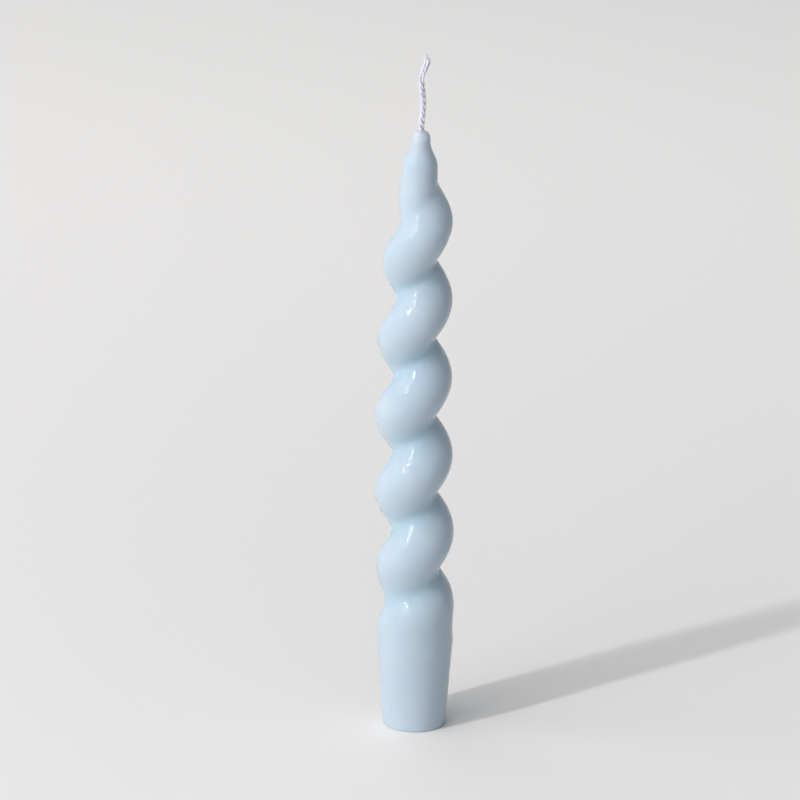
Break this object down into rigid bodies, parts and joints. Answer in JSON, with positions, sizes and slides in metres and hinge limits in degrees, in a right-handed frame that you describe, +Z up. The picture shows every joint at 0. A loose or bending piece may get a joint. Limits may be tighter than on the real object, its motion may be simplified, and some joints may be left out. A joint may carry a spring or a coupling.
{
  "type": "spiral taper candle",
  "caption": "Pale blue wax taper candle with a spiral shaft, a plain tapered foot for a candlestick and a twisted cotton wick cast along its axis.",
  "frame": {"origin": "centre of the foot's flat underside, on the axis of the wick", "axes": "+Z up along the wick towards its free end; +X to the right and +Y away from the viewer as in the picture"},
  "size_m": [0.0281, 0.0272, 0.2403],
  "materials": {
    "wax": "smooth pale blue wax with a soft sheen",
    "cotton_wick": "white twisted cotton, stiff with wax"
  },
  "bodies": {
    "root": {"wax_body": "wax", "wick_ply_1": "cotton_wick", "wick_ply_2": "cotton_wick", "wick_ply_3": "cotton_wick"}
  },
  "joints": []
}
